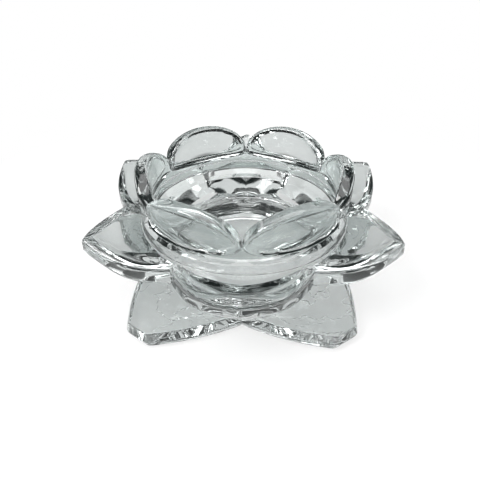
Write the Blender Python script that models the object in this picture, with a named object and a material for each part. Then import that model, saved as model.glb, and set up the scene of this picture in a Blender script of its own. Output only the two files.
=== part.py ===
"""Lotus tealight holder in clear crystal: a turned cup on a hub, ringed by three tiers of petals.

Metres, +Z up. The origin is the middle of the underside, on the table. The front is -Y.
Every piece has a plain vertical section, turned round the Z axis for the cup and the hub,
and swept across one petal's share of the turn, while it follows the petal's outline.
"""
import math

import bmesh
import bpy
from mathutils import Vector

# Whole object
HOLDER_HEIGHT = 0.0373       # from the table to the top of the upper petals
HOLDER_SPAN = 0.1050         # from tip to tip across the middle petals
BOND = 0.0003                # bond line left between two pieces that touch
CUP_SEGMENTS = 60
PETAL_STEPS = 18             # sections from one side of a petal to the other
STEP_CROWDING = 0.6          # how far the sections crowd towards a petal's tip and sides
ROUND_STEPS = 2              # facets in a rounded edge
SHARP_ANGLE = 40.0           # degrees

# Hub under the cup, and the shallow dome that hollows the underside of the hub and the feet
HUB_RADIUS = 0.0177
HOLLOW_REACH = 0.0090        # edge of the dome beyond the feet's inner ends
HOLLOW_DEPTH = 0.0030
HOLLOW_STEPS = 4

# Cup that holds the candle, from the middle outwards and from the floor up
FLOOR_THICKNESS = 0.0030
FLOOR_RADIUS = 0.0232        # room for a tealight 38 mm across
FLOOR_FILLET = 0.0010
RECESS_DEPTH = 0.0072
RECESS_TAPER = 0.0034        # mouth of the recess beyond its floor
SHOULDER_WIDTH = 0.0033
SHOULDER_RISE = 0.0020
SHOULDER_SAG = 0.35          # height of the shoulder's middle, as a share of its rise
SHOULDER_ROUND = 0.0006
CUP_RIM_RISE = 0.0018
CUP_RIM_WIDTH = 0.0013
CUP_COLLAR = 0.0045          # upright part of the outside, below the rim
CUP_TAPER = 0.0050           # base of the cup inside its collar

# Lower petals, the feet
LOWER_PETALS = 5
LOWER_TURN = 18.0            # degrees from +X to the first tip
LOWER_EDGE_HEIGHT = 0.0050
LOWER_EDGE_ROUND = 0.0008
LOWER_SOLE_ROUND = 0.0005
LOWER_GIRTH_HEIGHT = 0.0022  # mould line, where the edge stands out most
LOWER_DRAFT = 0.0010         # top edge inside that line
LOWER_UNDERCUT = 0.0011      # and sole inside it
LOWER_CLIMB = 0.0026         # top of the foot, from its edge up to the waist
LOWER_TOP_DIP = 0.0007
LOWER_TOP_STEPS = 5
LOWER_VALLEY_REACH = 0.0036  # notch between two feet beyond the waist
LOWER_POINT_REACH = 0.0195   # where the sides would meet, beyond the notch
LOWER_SIDE_BULGE = 0.0017
LOWER_END_REACH = 0.0163     # flat end that cuts the point off, beyond the notch
LOWER_END_ROUND = 0.0008

# Middle petals, the boat-shaped ones: the rim seen from above, the hull, and the hollow top
MIDDLE_PETALS = 6
MIDDLE_TURN = 30.0           # degrees
HULL_SEAT_WIDTH = 0.0047     # ring on which the hulls stand, outside the cup
MIDDLE_VALLEY_REACH = 0.0060 # notch between two rims beyond the upper petals
MIDDLE_SIDE_BULGE = 0.0027
MIDDLE_TIP_BLUNTNESS = 0.5   # degrees
MIDDLE_VALLEY_DROP = 0.0006  # notch below the seat of the upper petals
MIDDLE_TIP_RISE = 0.0039     # tip above the notch
MIDDLE_TIP_LIFT = 2.5        # how late the rim turns up towards the tip
MIDDLE_NOSE_HEIGHT = 0.0036  # upright part of the edge
MIDDLE_NOSE_SINK = 0.0015    # how much taller it is between two petals
MIDDLE_BELLY_REACH = 0.0133  # pull on the hull near its foot, beyond the waist
MIDDLE_BELLY_INSET = 0.0110  # how much less of it there is between two petals
MIDDLE_BELLY_RISE = 0.0018
MIDDLE_BELLY_LIFT = 0.0050   # how much higher it lies between two petals
MIDDLE_WAIST_LIFT = 0.0030   # how far the hull's foot rises there off the feet
MIDDLE_KEEL = 1.3            # 1 gives the hull a sharp keel, more rounds it
MIDDLE_SHOULDER_REACH = 0.0178
MIDDLE_SHOULDER_INSET = 0.0150
MIDDLE_SHOULDER_DROP = 0.0026
MIDDLE_SHOULDER_KEEL = 3.0
MIDDLE_HULL_STEPS = 8
MIDDLE_LIP_ROUND = 0.0016
MIDDLE_LIP_WIDTH = 0.0032
MIDDLE_LIP_FALL = 0.0004
MIDDLE_DISH_DEPTH = 0.0028   # floor of the hollow top below the seat
MIDDLE_BANK_SHARE = 0.70     # share of the top that slopes from that floor up to the lip
MIDDLE_BANK_STEPS = 6
MIDDLE_COVE = 0.0004

# Upper petals, the round upright ones: each is a lens with a bead round it, on a thin wall
UPPER_PETALS = 6
UPPER_TURN = 0.0             # degrees
UPPER_WALL = 0.0015
UPPER_FLARE = 0.0019
UPPER_COVE_HEIGHT = 0.0012
UPPER_COVE_ROUND = 0.0008
UPPER_VALLEY_RISE = 0.0053   # from the seat to the notch between two petals
UPPER_EDGE_HEIGHT = 0.0012   # height of the lens at the notch
UPPER_CREASE_DROP = 0.0024   # how much lower the bottom of the lens is under the arch
UPPER_SWELL = 0.0029         # how far the lens stands proud of the wall
UPPER_BEAD = 0.20            # half the bead's width, as a share of the lens
UPPER_BEAD_SWELL = 0.72      # how far the bead stands out, as a share of the swell
UPPER_DOME_EDGE = 0.42       # and the dome inside the bead, at its edge
UPPER_NOTCH_FADE = 1.6       # how quickly the lens thins out into the notch
UPPER_RIM_ROUND = 0.0012
UPPER_LENS_STEPS = 14

# Heights worked out from the sizes above
WAIST_Z = LOWER_EDGE_HEIGHT + LOWER_CLIMB
CUP_BASE_Z = WAIST_Z + BOND
FLOOR_Z = CUP_BASE_Z + FLOOR_THICKNESS
RECESS_TOP_Z = FLOOR_Z + RECESS_DEPTH
SHOULDER_TOP_Z = RECESS_TOP_Z + SHOULDER_RISE
SEAT_Z = SHOULDER_TOP_Z + CUP_RIM_RISE
UPPER_BASE_Z = SEAT_Z + BOND
NOTCH_Z = UPPER_BASE_Z + UPPER_VALLEY_RISE
UPPER_ARCH_RISE = HOLDER_HEIGHT - NOTCH_Z

# Radii worked out from the sizes above
FOOT_INNER_RADIUS = HUB_RADIUS + BOND
HOLLOW_RADIUS = FOOT_INNER_RADIUS + HOLLOW_REACH
RECESS_MOUTH_RADIUS = FLOOR_RADIUS + RECESS_TAPER
BOWL_RADIUS = RECESS_MOUTH_RADIUS + SHOULDER_WIDTH
CUP_RADIUS = BOWL_RADIUS + CUP_RIM_WIDTH
CUP_BASE_RADIUS = CUP_RADIUS - CUP_TAPER
WAIST_RADIUS = CUP_BASE_RADIUS + BOND + HULL_SEAT_WIDTH
LOWER_VALLEY_RADIUS = WAIST_RADIUS + LOWER_VALLEY_REACH
LOWER_POINT_RADIUS = LOWER_VALLEY_RADIUS + LOWER_POINT_REACH
LOWER_END = LOWER_VALLEY_RADIUS + LOWER_END_REACH
UPPER_BODY_RADIUS = BOWL_RADIUS + UPPER_WALL
UPPER_FOOT_RADIUS = UPPER_BODY_RADIUS + UPPER_FLARE
MIDDLE_VALLEY_RADIUS = UPPER_FOOT_RADIUS + MIDDLE_VALLEY_REACH
MIDDLE_TIP_RADIUS = 0.5 * HOLDER_SPAN
MIDDLE_TIP_REACH = MIDDLE_TIP_RADIUS - MIDDLE_VALLEY_RADIUS

CRYSTAL_COLOUR = (0.80, 0.84, 0.83, 1.0)
CRYSTAL_ROUGHNESS = 0.02
CRYSTAL_IOR = 1.52


def crystal(name):
    material = bpy.data.materials.new(name)
    material.use_nodes = True
    shader = material.node_tree.nodes["Principled BSDF"]
    shader.inputs["Base Color"].default_value = CRYSTAL_COLOUR
    shader.inputs["Roughness"].default_value = CRYSTAL_ROUGHNESS
    shader.inputs["Metallic"].default_value = 0.0
    shader.inputs["IOR"].default_value = CRYSTAL_IOR
    shader.inputs["Transmission Weight"].default_value = 1.0
    return material


def add_object(name, mesh):
    mesh.shade_smooth()
    mesh.set_sharp_from_angle(angle=math.radians(SHARP_ANGLE))
    mesh.materials.append(crystal(name + "_crystal"))
    piece = bpy.data.objects.new(name, mesh)
    bpy.context.collection.objects.link(piece)
    return piece


def mesh_from(name, bm):
    bmesh.ops.recalc_face_normals(bm, faces=bm.faces)
    mesh = bpy.data.meshes.new(name)
    bm.to_mesh(mesh)
    bm.free()
    return mesh


def rounded(corners):
    """Loop of (radius, height) from corners of (radius, height, rounding)."""
    loop = []
    count = len(corners)
    for index, (radius, height, rounding) in enumerate(corners):
        if rounding == 0.0:
            loop.append((radius, height))
            continue
        corner = Vector((radius, height))
        back = Vector(corners[index - 1][:2]) - corner
        ahead = Vector(corners[(index + 1) % count][:2]) - corner
        reach = min(rounding / math.tan(0.5 * back.angle(ahead)), 0.48 * back.length, 0.48 * ahead.length)
        start = corner + back.normalized() * reach
        end = corner + ahead.normalized() * reach
        for step in range(ROUND_STEPS + 1):
            along = step / ROUND_STEPS
            point = start * (1.0 - along) ** 2 + corner * 2.0 * along * (1.0 - along) + end * along ** 2
            loop.append((point.x, point.y))
    return loop


def turned_mesh(name, profile):
    """Closed solid turned round Z from a profile of (radius, height) that starts and ends on the axis."""
    bm = bmesh.new()
    first_pole = bm.verts.new((0.0, 0.0, profile[0][1]))
    last_pole = bm.verts.new((0.0, 0.0, profile[-1][1]))
    rings = []
    for radius, height in profile[1:-1]:
        ring = []
        for step in range(CUP_SEGMENTS):
            turn = 2.0 * math.pi * step / CUP_SEGMENTS
            ring.append(bm.verts.new((radius * math.cos(turn), radius * math.sin(turn), height)))
        rings.append(ring)
    for here, after in [(step, (step + 1) % CUP_SEGMENTS) for step in range(CUP_SEGMENTS)]:
        bm.faces.new((first_pole, rings[0][after], rings[0][here]))
        for below, above in zip(rings, rings[1:]):
            bm.faces.new((below[here], below[after], above[after], above[here]))
        bm.faces.new((last_pole, rings[-1][here], rings[-1][after]))
    return mesh_from(name, bm)


def petal_mesh(name, section, half_pitch):
    """Closed solid swept across one petal; section(share) gives the loop of (radius, height) there.

    The share runs from -1 at one side of the petal, over 0 at its middle, to 1 at the other side.
    The two flat sides stay half a bond line away from the planes shared with the neighbours.
    """
    bm = bmesh.new()
    loops = []
    for step in range(PETAL_STEPS + 1):
        even = 2.0 * step / PETAL_STEPS - 1.0
        share = even - STEP_CROWDING * math.sin(2.0 * math.pi * even) / (2.0 * math.pi)
        loop = []
        for radius, height in section(share):
            turn = share * (half_pitch - math.asin(0.5 * BOND / radius))
            loop.append(bm.verts.new((radius * math.cos(turn), radius * math.sin(turn), height)))
        loops.append(loop)
    count = len(loops[0])
    for near, far in zip(loops, loops[1:]):
        for index in range(count):
            following = (index + 1) % count
            bm.faces.new((near[index], near[following], far[following], far[index]))
    bm.faces.new(loops[0])
    bm.faces.new(loops[-1])
    return mesh_from(name, bm)


def add_tier(name, section, count, first_turn):
    """Equal petals in a ring, numbered anticlockwise from the one nearest +X."""
    half_pitch = math.pi / count
    mesh = petal_mesh(name, section, half_pitch)
    for index in range(count):
        piece = add_object(f"{name}_{index + 1}", mesh.copy())
        piece.rotation_euler[2] = math.radians(first_turn) + 2.0 * half_pitch * index
    bpy.data.meshes.remove(mesh)


def ogive_radius(share, count, tip, valley, bulge, bluntness=0.0):
    """Radius of a pointed petal's edge at a share of the way from its middle to its side.

    Each side is an arc from the tip to the valley that it shares with the next petal.
    The bluntness, in degrees, rounds the tip off.
    """
    half_pitch = math.pi / count
    blunt = math.radians(bluntness)
    angle = math.hypot(share * half_pitch, blunt) - blunt
    angle *= half_pitch / (math.hypot(half_pitch, blunt) - blunt)
    valley_x = valley * math.cos(half_pitch)
    valley_y = valley * math.sin(half_pitch)
    chord_x = valley_x - tip
    chord = math.hypot(chord_x, valley_y)
    arc_radius = (0.25 * chord * chord + bulge * bulge) / (2.0 * bulge)
    inset = arc_radius - bulge
    centre_x = 0.5 * (tip + valley_x) - inset * valley_y / chord
    centre_y = 0.5 * valley_y + inset * chord_x / chord
    along = centre_x * math.cos(angle) + centre_y * math.sin(angle)
    across = centre_x * math.sin(angle) - centre_y * math.cos(angle)
    return along + math.sqrt(arc_radius * arc_radius - across * across)


def soft_least(first, second, softness):
    """The smaller of two lengths, with a soft change from one to the other."""
    blend = min(1.0, max(0.0, 0.5 + 0.5 * (first - second) / softness))
    return first + (second - first) * blend - softness * blend * (1.0 - blend)


def bezier(points, along):
    weights = (
        (1.0 - along) ** 3,
        3.0 * along * (1.0 - along) ** 2,
        3.0 * along ** 2 * (1.0 - along),
        along ** 3,
    )
    return tuple(sum(weight * point[axis] for weight, point in zip(weights, points)) for axis in (0, 1))


def hollow_z(radius):
    return HOLLOW_DEPTH * max(0.0, 1.0 - (radius / HOLLOW_RADIUS) ** 2)


def lower_section(share):
    """Foot: hollowed towards the hub, an edge drafted both ways, and a dished top that climbs to the waist."""
    side = ogive_radius(share, LOWER_PETALS, LOWER_POINT_RADIUS, LOWER_VALLEY_RADIUS, LOWER_SIDE_BULGE)
    end = LOWER_END / math.cos(share * math.pi / LOWER_PETALS)
    edge = soft_least(end, side, LOWER_END_ROUND)
    corners = []
    for step in range(HOLLOW_STEPS + 1):
        radius = FOOT_INNER_RADIUS + HOLLOW_REACH * step / HOLLOW_STEPS
        corners.append((radius, hollow_z(radius), 0.0))
    corners.append((edge - LOWER_UNDERCUT, 0.0, LOWER_SOLE_ROUND))
    corners.append((edge, LOWER_GIRTH_HEIGHT, LOWER_SOLE_ROUND))
    corners.append((edge - LOWER_DRAFT, LOWER_EDGE_HEIGHT, LOWER_EDGE_ROUND))
    start = edge - LOWER_DRAFT - LOWER_EDGE_ROUND
    for step in range(1, LOWER_TOP_STEPS):
        inward = step / LOWER_TOP_STEPS
        climb = LOWER_CLIMB * inward ** 3 - LOWER_TOP_DIP * math.sin(math.pi * inward)
        corners.append((start + (WAIST_RADIUS - start) * inward, LOWER_EDGE_HEIGHT + climb, 0.0))
    corners.append((WAIST_RADIUS, WAIST_Z, 0.0))
    corners.append((FOOT_INNER_RADIUS, WAIST_Z, 0.0))
    return rounded(corners)


def middle_section(share):
    """Boat-shaped petal: a hull that sweeps out of the waist, an upright edge, a lip and a hollow top."""
    rim = ogive_radius(
        share, MIDDLE_PETALS, MIDDLE_TIP_RADIUS, MIDDLE_VALLEY_RADIUS, MIDDLE_SIDE_BULGE, MIDDLE_TIP_BLUNTNESS
    )
    reach = max(0.0, rim - MIDDLE_VALLEY_RADIUS) / MIDDLE_TIP_REACH
    rim_z = SEAT_Z - MIDDLE_VALLEY_DROP + MIDDLE_TIP_RISE * reach ** MIDDLE_TIP_LIFT
    keel = abs(share) ** MIDDLE_KEEL
    belly = MIDDLE_BELLY_REACH - MIDDLE_BELLY_INSET * keel
    shoulder = MIDDLE_SHOULDER_REACH - MIDDLE_SHOULDER_INSET * abs(share) ** MIDDLE_SHOULDER_KEEL
    nose_z = rim_z - MIDDLE_NOSE_HEIGHT
    hull = (
        (WAIST_RADIUS, CUP_BASE_Z + MIDDLE_WAIST_LIFT * keel),
        (WAIST_RADIUS + belly, CUP_BASE_Z + MIDDLE_BELLY_RISE + MIDDLE_BELLY_LIFT * keel),
        (WAIST_RADIUS + shoulder, nose_z - MIDDLE_SHOULDER_DROP),
        (rim, nose_z - MIDDLE_NOSE_SINK * abs(share) ** MIDDLE_SHOULDER_KEEL),
    )
    corners = [(*bezier(hull, step / MIDDLE_HULL_STEPS), 0.0) for step in range(MIDDLE_HULL_STEPS + 1)]
    corners.append((rim, rim_z, MIDDLE_LIP_ROUND))
    lip_r = rim - MIDDLE_LIP_WIDTH
    lip_z = rim_z - MIDDLE_LIP_FALL
    dish_z = SEAT_Z - MIDDLE_DISH_DEPTH
    bank = MIDDLE_BANK_SHARE * (lip_r - UPPER_FOOT_RADIUS)
    for step in range(MIDDLE_BANK_STEPS + 1):
        down = step / MIDDLE_BANK_STEPS
        corners.append((lip_r - bank * down, dish_z + (lip_z - dish_z) * (1.0 - down) ** 2, 0.0))
    corners.append((UPPER_FOOT_RADIUS + MIDDLE_COVE, dish_z, MIDDLE_COVE))
    corners.append((UPPER_FOOT_RADIUS, SEAT_Z, 0.0))
    corners.append((CUP_RADIUS + BOND, SEAT_Z, 0.0))
    corners.append((CUP_RADIUS + BOND, SEAT_Z - CUP_COLLAR, 0.0))
    corners.append((CUP_BASE_RADIUS + BOND, CUP_BASE_Z, 0.0))
    return rounded(corners)


def lens_swell(share, lift):
    """How far the lens stands out of the wall, as a share of its swell; lift is -1 at its bottom, 1 on top."""
    outward = math.sqrt(min(1.0, share * share + (1.0 - share * share) * lift * lift))
    bead = math.sqrt(max(0.0, 1.0 - ((outward - 1.0 + UPPER_BEAD) / UPPER_BEAD) ** 2))
    dome = 0.0
    if outward < 1.0 - UPPER_BEAD:
        dome = UPPER_DOME_EDGE + (1.0 - UPPER_DOME_EDGE) * math.sqrt(1.0 - (outward / (1.0 - UPPER_BEAD)) ** 2)
    return max(UPPER_BEAD_SWELL * bead, dome)


def upper_section(share):
    """Upright petal: a flared foot, a thin wall, and the lens with its bead up to the round top."""
    arch = math.sqrt(max(0.0, 1.0 - share * share))
    top_z = NOTCH_Z + UPPER_ARCH_RISE * arch
    crease_z = NOTCH_Z - UPPER_EDGE_HEIGHT - UPPER_CREASE_DROP * arch
    fade = min(1.0, UPPER_NOTCH_FADE * arch)
    corners = [
        (BOWL_RADIUS, UPPER_BASE_Z, 0.0),
        (UPPER_FOOT_RADIUS, UPPER_BASE_Z, 0.0),
        (UPPER_BODY_RADIUS, UPPER_BASE_Z + UPPER_COVE_HEIGHT, UPPER_COVE_ROUND),
    ]
    for step in range(UPPER_LENS_STEPS + 1):
        lift = -math.cos(math.pi * step / UPPER_LENS_STEPS)
        corners.append((
            UPPER_BODY_RADIUS + UPPER_SWELL * fade * lens_swell(share, lift),
            crease_z + 0.5 * (top_z - crease_z) * (1.0 + lift),
            0.0,
        ))
    corners.append((BOWL_RADIUS, top_z, UPPER_RIM_ROUND))
    return rounded(corners)


def add_hub():
    hub_steps = [HUB_RADIUS * step / HOLLOW_STEPS for step in range(HOLLOW_STEPS + 1)]
    profile = [(radius, hollow_z(radius)) for radius in hub_steps]
    profile.append((HUB_RADIUS, WAIST_Z))
    profile.append((0.0, WAIST_Z))
    add_object("base_hub", turned_mesh("base_hub", profile))


def add_cup():
    """Solid floor, tapered recess for the candle, a sloping shoulder, and the bowl's rim."""
    profile = rounded([
        (0.0, CUP_BASE_Z, 0.0),
        (CUP_BASE_RADIUS, CUP_BASE_Z, 0.0),
        (CUP_RADIUS, SEAT_Z - CUP_COLLAR, 0.0),
        (CUP_RADIUS, SEAT_Z, 0.0),
        (BOWL_RADIUS, SEAT_Z, 0.0),
        (BOWL_RADIUS, SHOULDER_TOP_Z, SHOULDER_ROUND),
        (0.5 * (BOWL_RADIUS + RECESS_MOUTH_RADIUS), RECESS_TOP_Z + SHOULDER_SAG * SHOULDER_RISE, 0.0),
        (RECESS_MOUTH_RADIUS, RECESS_TOP_Z, SHOULDER_ROUND),
        (FLOOR_RADIUS, FLOOR_Z, FLOOR_FILLET),
        (0.0, FLOOR_Z, 0.0),
    ])
    add_object("candle_cup", turned_mesh("candle_cup", profile))


def build():
    for old in list(bpy.data.objects):
        bpy.data.objects.remove(old, do_unlink=True)
    add_hub()
    add_cup()
    add_tier("lower_petal", lower_section, LOWER_PETALS, LOWER_TURN)
    add_tier("middle_petal", middle_section, MIDDLE_PETALS, MIDDLE_TURN)
    add_tier("upper_petal", upper_section, UPPER_PETALS, UPPER_TURN)


build()
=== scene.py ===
import math

import bmesh
import bpy
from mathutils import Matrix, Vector


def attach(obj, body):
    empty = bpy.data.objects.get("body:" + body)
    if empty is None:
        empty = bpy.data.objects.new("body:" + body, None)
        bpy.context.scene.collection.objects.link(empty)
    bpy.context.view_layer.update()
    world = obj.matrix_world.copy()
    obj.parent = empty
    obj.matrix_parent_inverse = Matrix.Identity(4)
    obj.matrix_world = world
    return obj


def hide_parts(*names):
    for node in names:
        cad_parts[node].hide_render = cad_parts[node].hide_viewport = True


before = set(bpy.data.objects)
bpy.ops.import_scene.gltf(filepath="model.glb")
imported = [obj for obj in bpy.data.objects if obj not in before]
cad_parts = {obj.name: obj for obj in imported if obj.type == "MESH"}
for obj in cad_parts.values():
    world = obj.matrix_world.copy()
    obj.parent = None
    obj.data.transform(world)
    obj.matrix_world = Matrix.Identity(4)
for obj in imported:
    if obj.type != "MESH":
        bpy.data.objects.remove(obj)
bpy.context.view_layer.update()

# The table is a board under the holder, white to the camera. It is no part of the object: it
# carries the shadow and a painted pool of light that the crystal looks onto, glowing grey round the
# holder and painted black beyond. It lies a hair under the soles of the feet.
TABLE_GAP = 0.0001
TABLE_SIZE = 4.0
TABLE_COLOUR = (0.20, 0.20, 0.199, 1.0)
TABLE_WHITE = 0.76
# painted light: how bright the painted pool glows for rays from the crystal
PAINTED_POOL_GLOW = 0.56
# radii where the painted pool of light fades out to the board painted black
PAINTED_POOL_INNER = 0.128
PAINTED_POOL_OUTER = 0.144

table_mesh = bpy.data.meshes.new("table")
half_table = 0.5 * TABLE_SIZE
table_mesh.from_pydata(
    [
        (-half_table, -half_table, -TABLE_GAP),
        (half_table, -half_table, -TABLE_GAP),
        (half_table, half_table, -TABLE_GAP),
        (-half_table, half_table, -TABLE_GAP),
    ],
    [],
    [(0, 1, 2, 3)],
)
table = bpy.data.objects.new("table", table_mesh)
bpy.context.collection.objects.link(table)
table_paint = bpy.data.materials.new("table_paint")
table_paint.use_nodes = True
nodes, links = table_paint.node_tree.nodes, table_paint.node_tree.links
nodes.clear()
# painted light: a grey pool of light is painted on the board round the holder, and the board is
# painted black beyond it
where = nodes.new("ShaderNodeTexCoord")
distance = nodes.new("ShaderNodeVectorMath")
distance.operation = "LENGTH"
links.new(where.outputs["Object"], distance.inputs[0])
painted_light_pool = nodes.new("ShaderNodeMapRange")
painted_light_pool.interpolation_type = "SMOOTHSTEP"
painted_light_pool.inputs["From Min"].default_value = PAINTED_POOL_INNER
painted_light_pool.inputs["From Max"].default_value = PAINTED_POOL_OUTER
painted_light_pool.inputs["To Min"].default_value = 1.0
painted_light_pool.inputs["To Max"].default_value = 0.0
links.new(distance.outputs["Value"], painted_light_pool.inputs["Value"])
paint = nodes.new("ShaderNodeMix")
paint.data_type = "RGBA"
paint.inputs["A"].default_value = (0.0, 0.0, 0.0, 1.0)
paint.inputs["B"].default_value = TABLE_COLOUR
links.new(painted_light_pool.outputs["Result"], paint.inputs["Factor"])
matt = nodes.new("ShaderNodeBsdfDiffuse")
links.new(paint.outputs["Result"], matt.inputs["Color"])
# painted light: inside the pool the board glows grey for rays from the crystal, though it is no
# lamp
rays = nodes.new("ShaderNodeLightPath")
in_glass = nodes.new("ShaderNodeMath")
in_glass.operation = "MAXIMUM"
links.new(rays.outputs["Is Glossy Ray"], in_glass.inputs[0])
links.new(rays.outputs["Is Transmission Ray"], in_glass.inputs[1])
glass_glow_mask = nodes.new("ShaderNodeMath")
glass_glow_mask.operation = "MULTIPLY"
links.new(painted_light_pool.outputs["Result"], glass_glow_mask.inputs[1])
links.new(in_glass.outputs[0], glass_glow_mask.inputs[0])
painted_glow = nodes.new("ShaderNodeMath")
painted_glow.operation = "MULTIPLY"
painted_glow.inputs[1].default_value = PAINTED_POOL_GLOW
links.new(glass_glow_mask.outputs[0], painted_glow.inputs[0])
# the camera sees the board white, with the holder's shadow on it
white = nodes.new("ShaderNodeMapRange")
white.inputs["To Min"].default_value = 1.0
white.inputs["To Max"].default_value = TABLE_WHITE
links.new(painted_light_pool.outputs["Result"], white.inputs["Value"])
lift = nodes.new("ShaderNodeMath")
lift.operation = "MULTIPLY_ADD"
links.new(white.outputs["Result"], lift.inputs[1])
links.new(rays.outputs["Is Camera Ray"], lift.inputs[0])
links.new(painted_glow.outputs[0], lift.inputs[2])
glow = nodes.new("ShaderNodeEmission")
links.new(lift.outputs[0], glow.inputs["Strength"])
added = nodes.new("ShaderNodeAddShader")
links.new(matt.outputs[0], added.inputs[0])
links.new(glow.outputs[0], added.inputs[1])
board = nodes.new("ShaderNodeOutputMaterial")
links.new(added.outputs[0], board.inputs["Surface"])
table.data.materials.append(table_paint)

# Base hub: a short solid drum of clear crystal under the cup, with a shallow dome pressed into
# its underside. It is joined by clear bonded faces to the feet round it and to the cup on it.
SEAM = 0.00001
NODE_GAP = 0.0003
TURNED_STEPS = 144
HUB_RADIUS = 0.0177
HOLLOW_RADIUS = 0.0270
HOLLOW_DEPTH = 0.0030
HOLLOW_RINGS = 12
FOOT_EDGE_HEIGHT = 0.0050
FOOT_CLIMB = 0.0026
WAIST_Z = FOOT_EDGE_HEIGHT + FOOT_CLIMB
CRYSTAL_INDEX = 1.52
CRYSTAL_DEEP = (0.74, 0.784, 0.777, 1.0)
CRYSTAL_PALE = (0.82, 0.855, 0.849, 1.0)
TINT_SCALE = 45.0
TINT_DETAIL = 2.0
TINT_DEEP_AT = 0.35
TINT_PALE_AT = 0.65
POLISH_SCALE = 260.0
POLISH_DETAIL = 3.0
POLISH_MARKS_START = 0.45
POLISH_MARKS_FULL = 0.8
MOST_POLISH_MARK = 0.05
RIPPLE_STRENGTH = 0.08
RIPPLE_SCALE = 110.0
RIPPLE_DETAIL = 1.5
RIPPLE_DEPTH = 0.0006
SMOOTH_ANGLE = 34.0
LONGEST_ROUNDING = 0.48
ROUNDING_STEPS = 6
CLEAR = 0
JOINED = 1


def crystal(name):
    """Clear pressed crystal: a faint cool tint, slow mould ripples and soft fire-polish marks."""
    material = bpy.data.materials.new(name)
    material.use_nodes = True
    nodes, links = material.node_tree.nodes, material.node_tree.links
    shader = nodes["Principled BSDF"]
    shader.inputs["IOR"].default_value = CRYSTAL_INDEX
    shader.inputs["Transmission Weight"].default_value = 1.0
    place = nodes.new("ShaderNodeTexCoord")
    clouds = nodes.new("ShaderNodeTexNoise")
    clouds.inputs["Scale"].default_value = TINT_SCALE
    clouds.inputs["Detail"].default_value = TINT_DETAIL
    links.new(place.outputs["Object"], clouds.inputs["Vector"])
    tint = nodes.new("ShaderNodeValToRGB")
    tint.color_ramp.elements[0].position = TINT_DEEP_AT
    tint.color_ramp.elements[0].color = CRYSTAL_DEEP
    tint.color_ramp.elements[1].position = TINT_PALE_AT
    tint.color_ramp.elements[1].color = CRYSTAL_PALE
    links.new(clouds.outputs["Fac"], tint.inputs["Fac"])
    links.new(tint.outputs["Color"], shader.inputs["Base Color"])
    polish = nodes.new("ShaderNodeTexNoise")
    polish.inputs["Scale"].default_value = POLISH_SCALE
    polish.inputs["Detail"].default_value = POLISH_DETAIL
    links.new(place.outputs["Object"], polish.inputs["Vector"])
    marks = nodes.new("ShaderNodeMapRange")
    marks.inputs["From Min"].default_value = POLISH_MARKS_START
    marks.inputs["From Max"].default_value = POLISH_MARKS_FULL
    marks.inputs["To Min"].default_value = 0.0
    marks.inputs["To Max"].default_value = MOST_POLISH_MARK
    links.new(polish.outputs["Fac"], marks.inputs["Value"])
    links.new(marks.outputs["Result"], shader.inputs["Roughness"])
    ripple = nodes.new("ShaderNodeTexNoise")
    ripple.inputs["Scale"].default_value = RIPPLE_SCALE
    ripple.inputs["Detail"].default_value = RIPPLE_DETAIL
    links.new(place.outputs["Object"], ripple.inputs["Vector"])
    bump = nodes.new("ShaderNodeBump")
    bump.name = "ripple_bump"
    bump.inputs["Strength"].default_value = RIPPLE_STRENGTH
    bump.inputs["Distance"].default_value = RIPPLE_DEPTH
    links.new(ripple.outputs["Fac"], bump.inputs["Height"])
    links.new(bump.outputs["Normal"], shader.inputs["Normal"])
    return material


def clear_bond():
    """The hidden faces where two pieces are joined: as clear as the crystal beside them."""
    material = bpy.data.materials.new("clear_bond")
    material.use_nodes = True
    nodes, links = material.node_tree.nodes, material.node_tree.links
    nodes.clear()
    clear = nodes.new("ShaderNodeBsdfTransparent")
    output = nodes.new("ShaderNodeOutputMaterial")
    links.new(clear.outputs[0], output.inputs["Surface"])
    return material


CRYSTAL = crystal("clear_crystal")
BOND = clear_bond()


def rounded(corners):
    """Loop of (radius, height, finish) from corners of (radius, height, rounding, finish).

    A corner's finish is that of the side that runs from it to the next corner.
    """
    loop = []
    count = len(corners)
    for index, (r, z, rounding, finish) in enumerate(corners):
        before = corners[index - 1]
        after = corners[(index + 1) % count]
        if rounding <= 0.0:
            loop.append((r, z, finish))
            continue
        corner = Vector((r, z))
        back = Vector((before[0], before[1])) - corner
        ahead = Vector((after[0], after[1])) - corner
        half_angle = 0.5 * back.angle(ahead)
        reach = min(
            rounding / math.tan(half_angle),
            LONGEST_ROUNDING * back.length,
            LONGEST_ROUNDING * ahead.length,
        )
        start = corner + back.normalized() * reach
        end = corner + ahead.normalized() * reach
        for step in range(ROUNDING_STEPS + 1):
            along = step / ROUNDING_STEPS
            # a quadratic arc hugs the circle closely enough at these angles
            bend = corner * 2.0 * along * (1.0 - along)
            point = start * (1.0 - along) ** 2 + bend + end * along ** 2
            loop.append((point.x, point.y, finish if step == ROUNDING_STEPS else before[3]))
    return loop


def crystal_piece(node, bm, finishes, materials):
    """Turns the finished bmesh into the piece that stands for its node, smooth between edges."""
    name = node + "_crystal"
    bmesh.ops.recalc_face_normals(bm, faces=bm.faces)
    for face in bm.faces:
        face.smooth = True
        face.material_index = finishes[face]
    mesh = bpy.data.meshes.new(name)
    bm.to_mesh(mesh)
    bm.free()
    for material in materials:
        mesh.materials.append(material)
    mesh.set_sharp_from_angle(angle=math.radians(SMOOTH_ANGLE))
    piece = bpy.data.objects.new(name, mesh)
    bpy.context.collection.objects.link(piece)
    return piece


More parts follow.
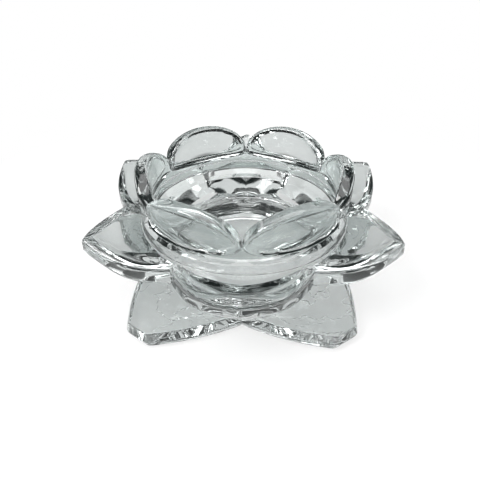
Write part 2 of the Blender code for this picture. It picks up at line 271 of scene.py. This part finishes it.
def turned(node, loop):
    """Closed piece turned round Z; the loop's first and last points are on the axis."""
    bm = bmesh.new()
    finishes = {}
    first = bm.verts.new((0.0, 0.0, loop[0][1]))
    last = bm.verts.new((0.0, 0.0, loop[-1][1]))
    rings = []
    for r, z, _ in loop[1:-1]:
        rings.append([
            bm.verts.new((
                r * math.cos(2.0 * math.pi * step / TURNED_STEPS),
                r * math.sin(2.0 * math.pi * step / TURNED_STEPS),
                z,
            ))
            for step in range(TURNED_STEPS)
        ])
    for step in range(TURNED_STEPS):
        after = (step + 1) % TURNED_STEPS
        face = bm.faces.new((first, rings[0][after], rings[0][step]))
        finishes[face] = loop[0][2]
        for index in range(len(rings) - 1):
            lower, upper = rings[index], rings[index + 1]
            face = bm.faces.new((lower[step], lower[after], upper[after], upper[step]))
            finishes[face] = loop[index + 1][2]
        face = bm.faces.new((last, rings[-1][step], rings[-1][after]))
        finishes[face] = loop[-2][2]
    return crystal_piece(node, bm, finishes, (CRYSTAL, BOND))


def hollow_z(r):
    """Height of the shallow dome that hollows the underside."""
    return HOLLOW_DEPTH * max(0.0, 1.0 - (r / HOLLOW_RADIUS) ** 2)


hub_side = HUB_RADIUS + NODE_GAP - SEAM
hub_loop = [(0.0, hollow_z(0.0), CLEAR)]
for ring in range(1, HOLLOW_RINGS + 1):
    ring_radius = hub_side * ring / HOLLOW_RINGS
    hub_loop.append((ring_radius, hollow_z(ring_radius), JOINED if ring == HOLLOW_RINGS else CLEAR))
hub_loop += [(hub_side, WAIST_Z, JOINED), (0.0, WAIST_Z, JOINED)]
hub = turned("base_hub", hub_loop)
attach(hub, "root")
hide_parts("base_hub")

# Lower petals: five flat pointed feet of pressed crystal round the hub, each dipped a little on
# top and polished round its edge. Chill creases from the mould run over their flat soles.
FOOT_COUNT = 5
FOOT_TURN = 18.0
FOOT_EDGE_ROUND = 0.0008
FOOT_DRAFT = 0.0010
FOOT_UNDERCUT = 0.0011
FOOT_GIRTH_HEIGHT = 0.0022
FOOT_SOLE_ROUND = 0.0005
FOOT_TOP_DIP = 0.0007
FOOT_TOP_CURVE = 3
FOOT_TOP_STEPS = 10
FOOT_HOLLOW_STEPS = 10
FOOT_VALLEY_REACH = 0.0036
FOOT_POINT_REACH = 0.0195
FOOT_SIDE_BULGE = 0.0017
FOOT_BLUNTNESS = 0.0
FOOT_END = 0.0508
FOOT_END_ROUND = 0.0008
WAIST_RADIUS = 0.0312
FOOT_VALLEY_RADIUS = WAIST_RADIUS + FOOT_VALLEY_REACH
FOOT_POINT_RADIUS = FOOT_VALLEY_RADIUS + FOOT_POINT_REACH
PETAL_STEPS = 72
STEP_CROWDING = 0.6
CREASED = 2
CREASE_SCALE = 90.0
CREASE_DETAIL = 3.0
CREASE_WIDTH = 0.022
CREASE_DEPTH = 0.0001


def creased_crystal():
    """The crystal of the soles, with thin winding creases where it chilled against the mould."""
    material = crystal("creased_crystal")
    nodes, links = material.node_tree.nodes, material.node_tree.links
    shader = nodes["Principled BSDF"]
    place = nodes.new("ShaderNodeTexCoord")
    folds = nodes.new("ShaderNodeTexNoise")
    folds.inputs["Scale"].default_value = CREASE_SCALE
    folds.inputs["Detail"].default_value = CREASE_DETAIL
    links.new(place.outputs["Object"], folds.inputs["Vector"])
    # a crease runs wherever the noise crosses its middle value
    middle = nodes.new("ShaderNodeMath")
    middle.operation = "SUBTRACT"
    middle.inputs[1].default_value = 0.5
    links.new(folds.outputs["Fac"], middle.inputs[0])
    away = nodes.new("ShaderNodeMath")
    away.operation = "ABSOLUTE"
    links.new(middle.outputs[0], away.inputs[0])
    ridge = nodes.new("ShaderNodeMapRange")
    ridge.interpolation_type = "SMOOTHSTEP"
    ridge.inputs["From Min"].default_value = 0.0
    ridge.inputs["From Max"].default_value = CREASE_WIDTH
    ridge.inputs["To Min"].default_value = 1.0
    ridge.inputs["To Max"].default_value = 0.0
    links.new(away.outputs[0], ridge.inputs["Value"])
    crease = nodes.new("ShaderNodeBump")
    crease.inputs["Strength"].default_value = 1.0
    crease.inputs["Distance"].default_value = CREASE_DEPTH
    links.new(ridge.outputs["Result"], crease.inputs["Height"])
    links.new(nodes["ripple_bump"].outputs["Normal"], crease.inputs["Normal"])
    links.new(crease.outputs["Normal"], shader.inputs["Normal"])
    return material


def petal_edge(share, count, tip, valley, bulge, bluntness):
    """Radius of a pointed petal's edge, share of the way from its middle to its side."""
    half_pitch = math.pi / count
    blunt = math.radians(bluntness)
    angle = math.hypot(share * half_pitch, blunt) - blunt
    angle *= half_pitch / (math.hypot(half_pitch, blunt) - blunt)
    valley_x = valley * math.cos(half_pitch)
    valley_y = valley * math.sin(half_pitch)
    chord_x = valley_x - tip
    chord = math.hypot(chord_x, valley_y)
    arc_radius = (0.25 * chord * chord + bulge * bulge) / (2.0 * bulge)
    inset = arc_radius - bulge
    centre_x = 0.5 * (tip + valley_x) - inset * valley_y / chord
    centre_y = 0.5 * valley_y + inset * chord_x / chord
    along = centre_x * math.cos(angle) + centre_y * math.sin(angle)
    across = centre_x * math.sin(angle) - centre_y * math.cos(angle)
    return along + math.sqrt(arc_radius * arc_radius - across * across)


def petal(node, section, count, turn, materials):
    """Closed piece swept over one petal's share of the turn, with joined sides."""
    bm = bmesh.new()
    finishes = {}
    half_pitch = math.pi / count
    loops = []
    side_finishes = []
    for step in range(PETAL_STEPS + 1):
        even = 2.0 * step / PETAL_STEPS - 1.0
        share = even - STEP_CROWDING * math.sin(2.0 * math.pi * even) / (2.0 * math.pi)
        loop = section(share)
        side_finishes.append([point[2] for point in loop])
        verts = []
        for r, z, _ in loop:
            angle = math.radians(turn) + share * (half_pitch - math.asin(0.5 * SEAM / r))
            verts.append(bm.verts.new((r * math.cos(angle), r * math.sin(angle), z)))
        loops.append(verts)
    size = len(loops[0])
    for near, far, sides in zip(loops, loops[1:], side_finishes):
        for index in range(size):
            after = (index + 1) % size
            face = bm.faces.new((near[index], near[after], far[after], far[index]))
            finishes[face] = sides[index]
    finishes[bm.faces.new(loops[0])] = JOINED
    finishes[bm.faces.new(loops[-1])] = JOINED
    return crystal_piece(node, bm, finishes, materials)


def foot_section(share):
    side = petal_edge(
        share, FOOT_COUNT, FOOT_POINT_RADIUS, FOOT_VALLEY_RADIUS, FOOT_SIDE_BULGE, FOOT_BLUNTNESS
    )
    end = FOOT_END / math.cos(share * math.pi / FOOT_COUNT)
    blend = min(1.0, max(0.0, 0.5 + 0.5 * (end - side) / FOOT_END_ROUND))
    edge = end + (side - end) * blend - FOOT_END_ROUND * blend * (1.0 - blend)
    inner = HUB_RADIUS + NODE_GAP
    start = edge - FOOT_DRAFT - FOOT_EDGE_ROUND
    corners = []
    for step in range(FOOT_HOLLOW_STEPS):
        r = inner + (HOLLOW_RADIUS - inner) * step / FOOT_HOLLOW_STEPS
        corners.append((r, hollow_z(r), 0.0, CLEAR))
    corners += [
        (HOLLOW_RADIUS, 0.0, 0.0, CREASED),
        (edge - FOOT_UNDERCUT, 0.0, FOOT_SOLE_ROUND, CLEAR),
        (edge, FOOT_GIRTH_HEIGHT, FOOT_SOLE_ROUND, CLEAR),
        (edge - FOOT_DRAFT, FOOT_EDGE_HEIGHT, FOOT_EDGE_ROUND, CLEAR),
    ]
    for step in range(1, FOOT_TOP_STEPS):
        inward = step / FOOT_TOP_STEPS
        r = start + (WAIST_RADIUS - start) * inward
        climb = FOOT_CLIMB * inward ** FOOT_TOP_CURVE - FOOT_TOP_DIP * math.sin(math.pi * inward)
        corners.append((r, FOOT_EDGE_HEIGHT + climb, 0.0, CLEAR))
    corners.append((WAIST_RADIUS, WAIST_Z, 0.0, JOINED))
    corners.append((inner, WAIST_Z, 0.0, JOINED))
    return rounded(corners)


foot_materials = (CRYSTAL, BOND, creased_crystal())
for index in range(FOOT_COUNT):
    node = f"lower_petal_{index + 1}"
    turn = FOOT_TURN + 360.0 / FOOT_COUNT * index
    foot = petal(node, foot_section, FOOT_COUNT, turn, foot_materials)
    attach(foot, "root")
    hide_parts(node)

# Candle cup: the round bowl in the middle, pressed in one gather of crystal, with a tapered
# recess for a tealight, a sloping shoulder and an upright rim that carries the upper petals.
CUP_BASE_Z = WAIST_Z + SEAM
FLOOR_THICKNESS = 0.0030
FLOOR_RADIUS = 0.0232
FLOOR_FILLET = 0.0010
RECESS_DEPTH = 0.0072
RECESS_TAPER = 0.0034
RECESS_MOUTH_ROUND = 0.0006
SHOULDER_WIDTH = 0.0033
SHOULDER_RISE = 0.0020
SHOULDER_SAG = 0.35
SHOULDER_ROUND = 0.0010
BOWL_FOOT_ROUND = 0.0006
CUP_RIM_RISE = 0.0018
CUP_RIM_WIDTH = 0.0013
CUP_COLLAR = 0.0045
CUP_TAPER = 0.0050
FLOOR_Z = WAIST_Z + NODE_GAP + FLOOR_THICKNESS
RECESS_TOP_Z = FLOOR_Z + RECESS_DEPTH
SHOULDER_TOP_Z = RECESS_TOP_Z + SHOULDER_RISE
SEAT_Z = SHOULDER_TOP_Z + CUP_RIM_RISE
RECESS_MOUTH_RADIUS = FLOOR_RADIUS + RECESS_TAPER
BOWL_RADIUS = RECESS_MOUTH_RADIUS + SHOULDER_WIDTH
CUP_RADIUS = BOWL_RADIUS + CUP_RIM_WIDTH
CUP_BASE_RADIUS = CUP_RADIUS - CUP_TAPER
SHOULDER_MIDDLE_RADIUS = 0.5 * (BOWL_RADIUS + RECESS_MOUTH_RADIUS)

cup_corners = [
    (0.0, CUP_BASE_Z, 0.0, JOINED),
    (CUP_BASE_RADIUS, CUP_BASE_Z, 0.0, JOINED),
    (CUP_RADIUS, SEAT_Z - CUP_COLLAR, 0.0, JOINED),
    (CUP_RADIUS, SEAT_Z, 0.0, JOINED),
    (BOWL_RADIUS, SEAT_Z, 0.0, CLEAR),
    (BOWL_RADIUS, SHOULDER_TOP_Z, BOWL_FOOT_ROUND, CLEAR),
    (SHOULDER_MIDDLE_RADIUS, RECESS_TOP_Z + SHOULDER_SAG * SHOULDER_RISE, SHOULDER_ROUND, CLEAR),
    (RECESS_MOUTH_RADIUS, RECESS_TOP_Z, RECESS_MOUTH_ROUND, CLEAR),
    (FLOOR_RADIUS, FLOOR_Z, FLOOR_FILLET, CLEAR),
    (0.5 * FLOOR_RADIUS, FLOOR_Z, 0.0, CLEAR),
    (0.0, FLOOR_Z, 0.0, CLEAR),
]
cup = turned("candle_cup", rounded(cup_corners))
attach(cup, "root")
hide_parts("candle_cup")

# Middle petals: six boat-shaped petals round the cup, each a solid wedge of crystal with a
# pointed rim, a shallow dished top and a full round hull that sweeps in to the waist.
MIDDLE_COUNT = 6
MIDDLE_TURN = 30.0
MIDDLE_VALLEY_REACH = 0.0060
MIDDLE_TIP_REACH = 0.0131
MIDDLE_SIDE_BULGE = 0.0027
MIDDLE_TIP_BLUNTNESS = 0.5
MIDDLE_VALLEY_DROP = 0.0006
MIDDLE_TIP_RISE = 0.0039
MIDDLE_TIP_CURVE = 2.5
MIDDLE_KEEL = 1.3
MIDDLE_SHOULDER_KEEL = 3.0
MIDDLE_WAIST_LIFT = 0.0030
MIDDLE_BELLY_RADIUS = 0.0445
MIDDLE_BELLY_INSET = 0.0110
MIDDLE_BELLY_RISE = 0.0018
MIDDLE_BELLY_LIFT = 0.0050
MIDDLE_SHOULDER_RADIUS = 0.0490
MIDDLE_SHOULDER_INSET = 0.0150
MIDDLE_SHOULDER_DROP = 0.0026
MIDDLE_NOSE_HEIGHT = 0.0036
MIDDLE_NOSE_SINK = 0.0015
MIDDLE_LIP_ROUND = 0.0016
MIDDLE_LIP_FALL = 0.0004
MIDDLE_DISH_DEPTH = 0.0028
MIDDLE_BANK_SHARE = 0.70
MIDDLE_SEAT_FILLET = 0.0004
MIDDLE_SEAT_ROUND = 0.0006
HULL_STEPS = 20
BANK_STEPS = 14
UPPER_WALL = 0.0015
UPPER_FLARE = 0.0019
UPPER_BODY_RADIUS = BOWL_RADIUS + UPPER_WALL
UPPER_FOOT_RADIUS = UPPER_BODY_RADIUS + UPPER_FLARE
MIDDLE_VALLEY_RADIUS = UPPER_FOOT_RADIUS + MIDDLE_VALLEY_REACH
MIDDLE_TIP_RADIUS = MIDDLE_VALLEY_RADIUS + MIDDLE_TIP_REACH


def boat_section(share):
    rim = petal_edge(
        share,
        MIDDLE_COUNT,
        MIDDLE_TIP_RADIUS,
        MIDDLE_VALLEY_RADIUS,
        MIDDLE_SIDE_BULGE,
        MIDDLE_TIP_BLUNTNESS,
    )
    reach = max(0.0, rim - MIDDLE_VALLEY_RADIUS) / MIDDLE_TIP_REACH
    rim_z = SEAT_Z - MIDDLE_VALLEY_DROP + MIDDLE_TIP_RISE * reach ** MIDDLE_TIP_CURVE
    nose_z = rim_z - MIDDLE_NOSE_HEIGHT
    keel = abs(share) ** MIDDLE_KEEL
    shoulder_keel = abs(share) ** MIDDLE_SHOULDER_KEEL
    # the hull is one curve from the waist over the belly and the shoulder to the nose
    hull = [
        (WAIST_RADIUS, CUP_BASE_Z + MIDDLE_WAIST_LIFT * keel),
        (
            MIDDLE_BELLY_RADIUS - MIDDLE_BELLY_INSET * keel,
            CUP_BASE_Z + MIDDLE_BELLY_RISE + MIDDLE_BELLY_LIFT * keel,
        ),
        (
            MIDDLE_SHOULDER_RADIUS - MIDDLE_SHOULDER_INSET * shoulder_keel,
            nose_z - MIDDLE_SHOULDER_DROP,
        ),
        (rim, nose_z - MIDDLE_NOSE_SINK * shoulder_keel),
    ]
    corners = []
    for step in range(HULL_STEPS + 1):
        t = step / HULL_STEPS
        weights = ((1.0 - t) ** 3, 3.0 * t * (1.0 - t) ** 2, 3.0 * t * t * (1.0 - t), t ** 3)
        corners.append((
            sum(w * point[0] for w, point in zip(weights, hull)),
            sum(w * point[1] for w, point in zip(weights, hull)),
            0.0,
            CLEAR,
        ))
    lip_r = rim - 2.0 * MIDDLE_LIP_ROUND
    lip_z = rim_z - MIDDLE_LIP_FALL
    floor_z = SEAT_Z - MIDDLE_DISH_DEPTH
    bank = MIDDLE_BANK_SHARE * (lip_r - UPPER_FOOT_RADIUS)
    corners.append((rim, rim_z, MIDDLE_LIP_ROUND, CLEAR))
    for step in range(BANK_STEPS + 1):
        down = step / BANK_STEPS
        bank_z = floor_z + (lip_z - floor_z) * (1.0 - down) ** 2
        corners.append((lip_r - bank * down, bank_z, 0.0, CLEAR))
    corners.append((UPPER_FOOT_RADIUS + MIDDLE_SEAT_FILLET, floor_z, MIDDLE_SEAT_ROUND, CLEAR))
    side = CUP_RADIUS + SEAM
    corners.append((UPPER_FOOT_RADIUS, SEAT_Z, 0.0, JOINED))
    corners.append((side, SEAT_Z, 0.0, JOINED))
    corners.append((side, SEAT_Z - CUP_COLLAR, 0.0, JOINED))
    corners.append((CUP_BASE_RADIUS + SEAM, CUP_BASE_Z, 0.0, JOINED))
    return rounded(corners)


for index in range(MIDDLE_COUNT):
    node = f"middle_petal_{index + 1}"
    turn = MIDDLE_TURN + 360.0 / MIDDLE_COUNT * index
    boat = petal(node, boat_section, MIDDLE_COUNT, turn, (CRYSTAL, BOND))
    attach(boat, "root")
    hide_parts(node)

# Upper petals: six round-topped petals that stand up round the bowl as its wall. Each has a
# swelling like a lens on its outside, ringed by a thick fire-polished bead and a shallow groove.
UPPER_COUNT = 6
UPPER_TURN = 0.0
UPPER_SWELL = 0.0029
UPPER_BEAD_HALF = 0.0012
UPPER_BEAD_HEIGHT = 0.88
UPPER_GROOVE_HEIGHT = 0.34
UPPER_NOTCH_FADE = 1.6
UPPER_VALLEY_RISE = 0.0053
UPPER_ARCH_RISE = 0.0098
UPPER_CREASE_DROP = 0.0024
UPPER_EDGE_ROUND = 0.0012
UPPER_FOOT_RISE = 0.0012
UPPER_FOOT_ROUND = 0.0008
SWELL_STEPS = 30
LEAST_SPREAD = 0.001
UPPER_BASE_Z = SEAT_Z + SEAM
LENS_HALF_WIDTH = UPPER_BODY_RADIUS * math.pi / UPPER_COUNT
LENS_HALF_HEIGHT = 0.5 * (UPPER_ARCH_RISE + UPPER_EDGE_ROUND + UPPER_CREASE_DROP)


def lens_swell(share, arch, lift):
    """How far the outside swells, as a share of the full swelling: a bead round a low dome."""
    spread = math.sqrt(min(1.0, share * share + (1.0 - share * share) * lift * lift))
    slope = math.hypot(share / LENS_HALF_WIDTH, arch * lift / LENS_HALF_HEIGHT)
    slope /= max(spread, LEAST_SPREAD)
    inside = (1.0 - spread) / max(slope, 1.0)
    bead = math.sqrt(max(0.0, 1.0 - (inside / UPPER_BEAD_HALF - 1.0) ** 2))
    dome = 0.0
    if inside > UPPER_BEAD_HALF:
        dome = UPPER_GROOVE_HEIGHT + (1.0 - UPPER_GROOVE_HEIGHT) * (1.0 - spread * spread)
    return max(UPPER_BEAD_HEIGHT * bead, dome)


def lens_section(share):
    arch = math.sqrt(max(0.0, 1.0 - share * share))
    notch_z = SEAT_Z + NODE_GAP + UPPER_VALLEY_RISE
    top_z = notch_z + UPPER_ARCH_RISE * arch
    crease_z = notch_z - UPPER_EDGE_ROUND - UPPER_CREASE_DROP * arch
    half_height = 0.5 * (top_z - crease_z)
    fade = min(1.0, UPPER_NOTCH_FADE * arch)
    corners = [
        (BOWL_RADIUS, UPPER_BASE_Z, 0.0, JOINED),
        (UPPER_FOOT_RADIUS, UPPER_BASE_Z, 0.0, CLEAR),
        (UPPER_BODY_RADIUS, UPPER_BASE_Z + UPPER_FOOT_RISE, UPPER_FOOT_ROUND, CLEAR),
    ]
    for step in range(SWELL_STEPS + 1):
        lift = -math.cos(math.pi * step / SWELL_STEPS)
        swell = UPPER_SWELL * fade * lens_swell(share, arch, lift)
        lens_z = crease_z + half_height * (1.0 + lift)
        corners.append((UPPER_BODY_RADIUS + swell, lens_z, 0.0, CLEAR))
    corners.append((BOWL_RADIUS, top_z, UPPER_EDGE_ROUND, CLEAR))
    return rounded(corners)


for index in range(UPPER_COUNT):
    node = f"upper_petal_{index + 1}"
    turn = UPPER_TURN + 360.0 / UPPER_COUNT * index
    lens = petal(node, lens_section, UPPER_COUNT, turn, (CRYSTAL, BOND))
    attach(lens, "root")
    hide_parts(node)

# Light: a plain pale dome, bright overhead and dim towards the horizon as in a small light tent,
# with one soft lamp from the upper left. The camera sees the cloth of the tent white.
DOME_STRENGTH = 3.6
DOME_EDGE = 0.84
DOME_MIDDLE = 0.87
DOME_FULL = 0.90
DIM_SKY = (0.004, 0.005, 0.005, 1.0)
HALF_SKY = (0.5, 0.51, 0.51, 1.0)
FULL_SKY = (1.0, 1.0, 1.0, 1.0)
WHITE_CLOTH = (1.0, 1.0, 1.0, 1.0)
world = bpy.data.worlds.new("light_tent")
bpy.context.scene.world = world
world.use_nodes = True
nodes, links = world.node_tree.nodes, world.node_tree.links
sky = nodes["Background"]
where = nodes.new("ShaderNodeTexCoord")
split = nodes.new("ShaderNodeSeparateXYZ")
links.new(where.outputs["Generated"], split.inputs["Vector"])
dome = nodes.new("ShaderNodeValToRGB")
dome.color_ramp.elements[0].position = DOME_EDGE
dome.color_ramp.elements[0].color = DIM_SKY
dome.color_ramp.elements[1].position = DOME_FULL
dome.color_ramp.elements[1].color = FULL_SKY
middle = dome.color_ramp.elements.new(DOME_MIDDLE)
middle.color = HALF_SKY
links.new(split.outputs["Z"], dome.inputs["Fac"])
links.new(dome.outputs["Color"], sky.inputs["Color"])
sky.inputs["Strength"].default_value = DOME_STRENGTH
cloth = nodes.new("ShaderNodeBackground")
cloth.inputs["Color"].default_value = WHITE_CLOTH
cloth.inputs["Strength"].default_value = 1.0
rays = nodes.new("ShaderNodeLightPath")
seen = nodes.new("ShaderNodeMixShader")
links.new(rays.outputs["Is Camera Ray"], seen.inputs[0])
links.new(sky.outputs[0], seen.inputs[1])
links.new(cloth.outputs[0], seen.inputs[2])
links.new(seen.outputs[0], nodes["World Output"].inputs["Surface"])

LAMP_WIDTH = 0.5
LAMP_HEIGHT = 0.35
LAMP_POWER = 8.0
LAMP_PLACE = Vector((-0.55, -0.25, 0.75))
LAMP_AIM = Vector((0.0, 0.0, 0.02))
lamp_data = bpy.data.lights.new("soft_lamp", "AREA")
lamp_data.shape = "RECTANGLE"
lamp_data.size = LAMP_WIDTH
lamp_data.size_y = LAMP_HEIGHT
lamp_data.energy = LAMP_POWER
lamp = bpy.data.objects.new("soft_lamp", lamp_data)
lamp.location = LAMP_PLACE
lamp.rotation_euler = (LAMP_AIM - LAMP_PLACE).to_track_quat("-Z", "Y").to_euler()
bpy.context.collection.objects.link(lamp)

# Camera: about 35 degrees above the table and close, as the picture was taken. Light goes through
# many faces of crystal before it is spent, so its paths are long.
CAMERA_ELEVATION = 35.12
CAMERA_DISTANCE = 0.1593
CAMERA_TURN = 1.2
AIM_HEIGHT = 0.00726
FRAME_PIXELS = 480.0
FOCAL_PIXELS = 457.0
CENTRE_OFFSET_PIXELS = 4.4
SENSOR_WIDTH = 36.0
NEAREST_SEEN = 0.01
FARTHEST_SEEN = 20.0
MOST_CRYSTAL_FACES = 24
MOST_REFLECTIONS = 12
MOST_BONDS = 64
camera_data = bpy.data.cameras.new("camera")
camera_data.sensor_width = SENSOR_WIDTH
camera_data.lens = SENSOR_WIDTH * FOCAL_PIXELS / FRAME_PIXELS
camera_data.shift_x = -CENTRE_OFFSET_PIXELS / FRAME_PIXELS
camera_data.clip_start = NEAREST_SEEN
camera_data.clip_end = FARTHEST_SEEN
camera = bpy.data.objects.new("camera", camera_data)
elevation = math.radians(CAMERA_ELEVATION)
turn = math.radians(CAMERA_TURN)
away = Vector((
    math.sin(turn) * math.cos(elevation), -math.cos(turn) * math.cos(elevation), math.sin(elevation)
))
camera.location = Vector((0.0, 0.0, AIM_HEIGHT)) + CAMERA_DISTANCE * away
camera.rotation_euler = (-away).to_track_quat("-Z", "Y").to_euler()
bpy.context.collection.objects.link(camera)
scene = bpy.context.scene
scene.camera = camera
scene.view_settings.view_transform = "Standard"
scene.cycles.max_bounces = MOST_CRYSTAL_FACES
scene.cycles.transmission_bounces = MOST_CRYSTAL_FACES
scene.cycles.glossy_bounces = MOST_REFLECTIONS
scene.cycles.transparent_max_bounces = MOST_BONDS
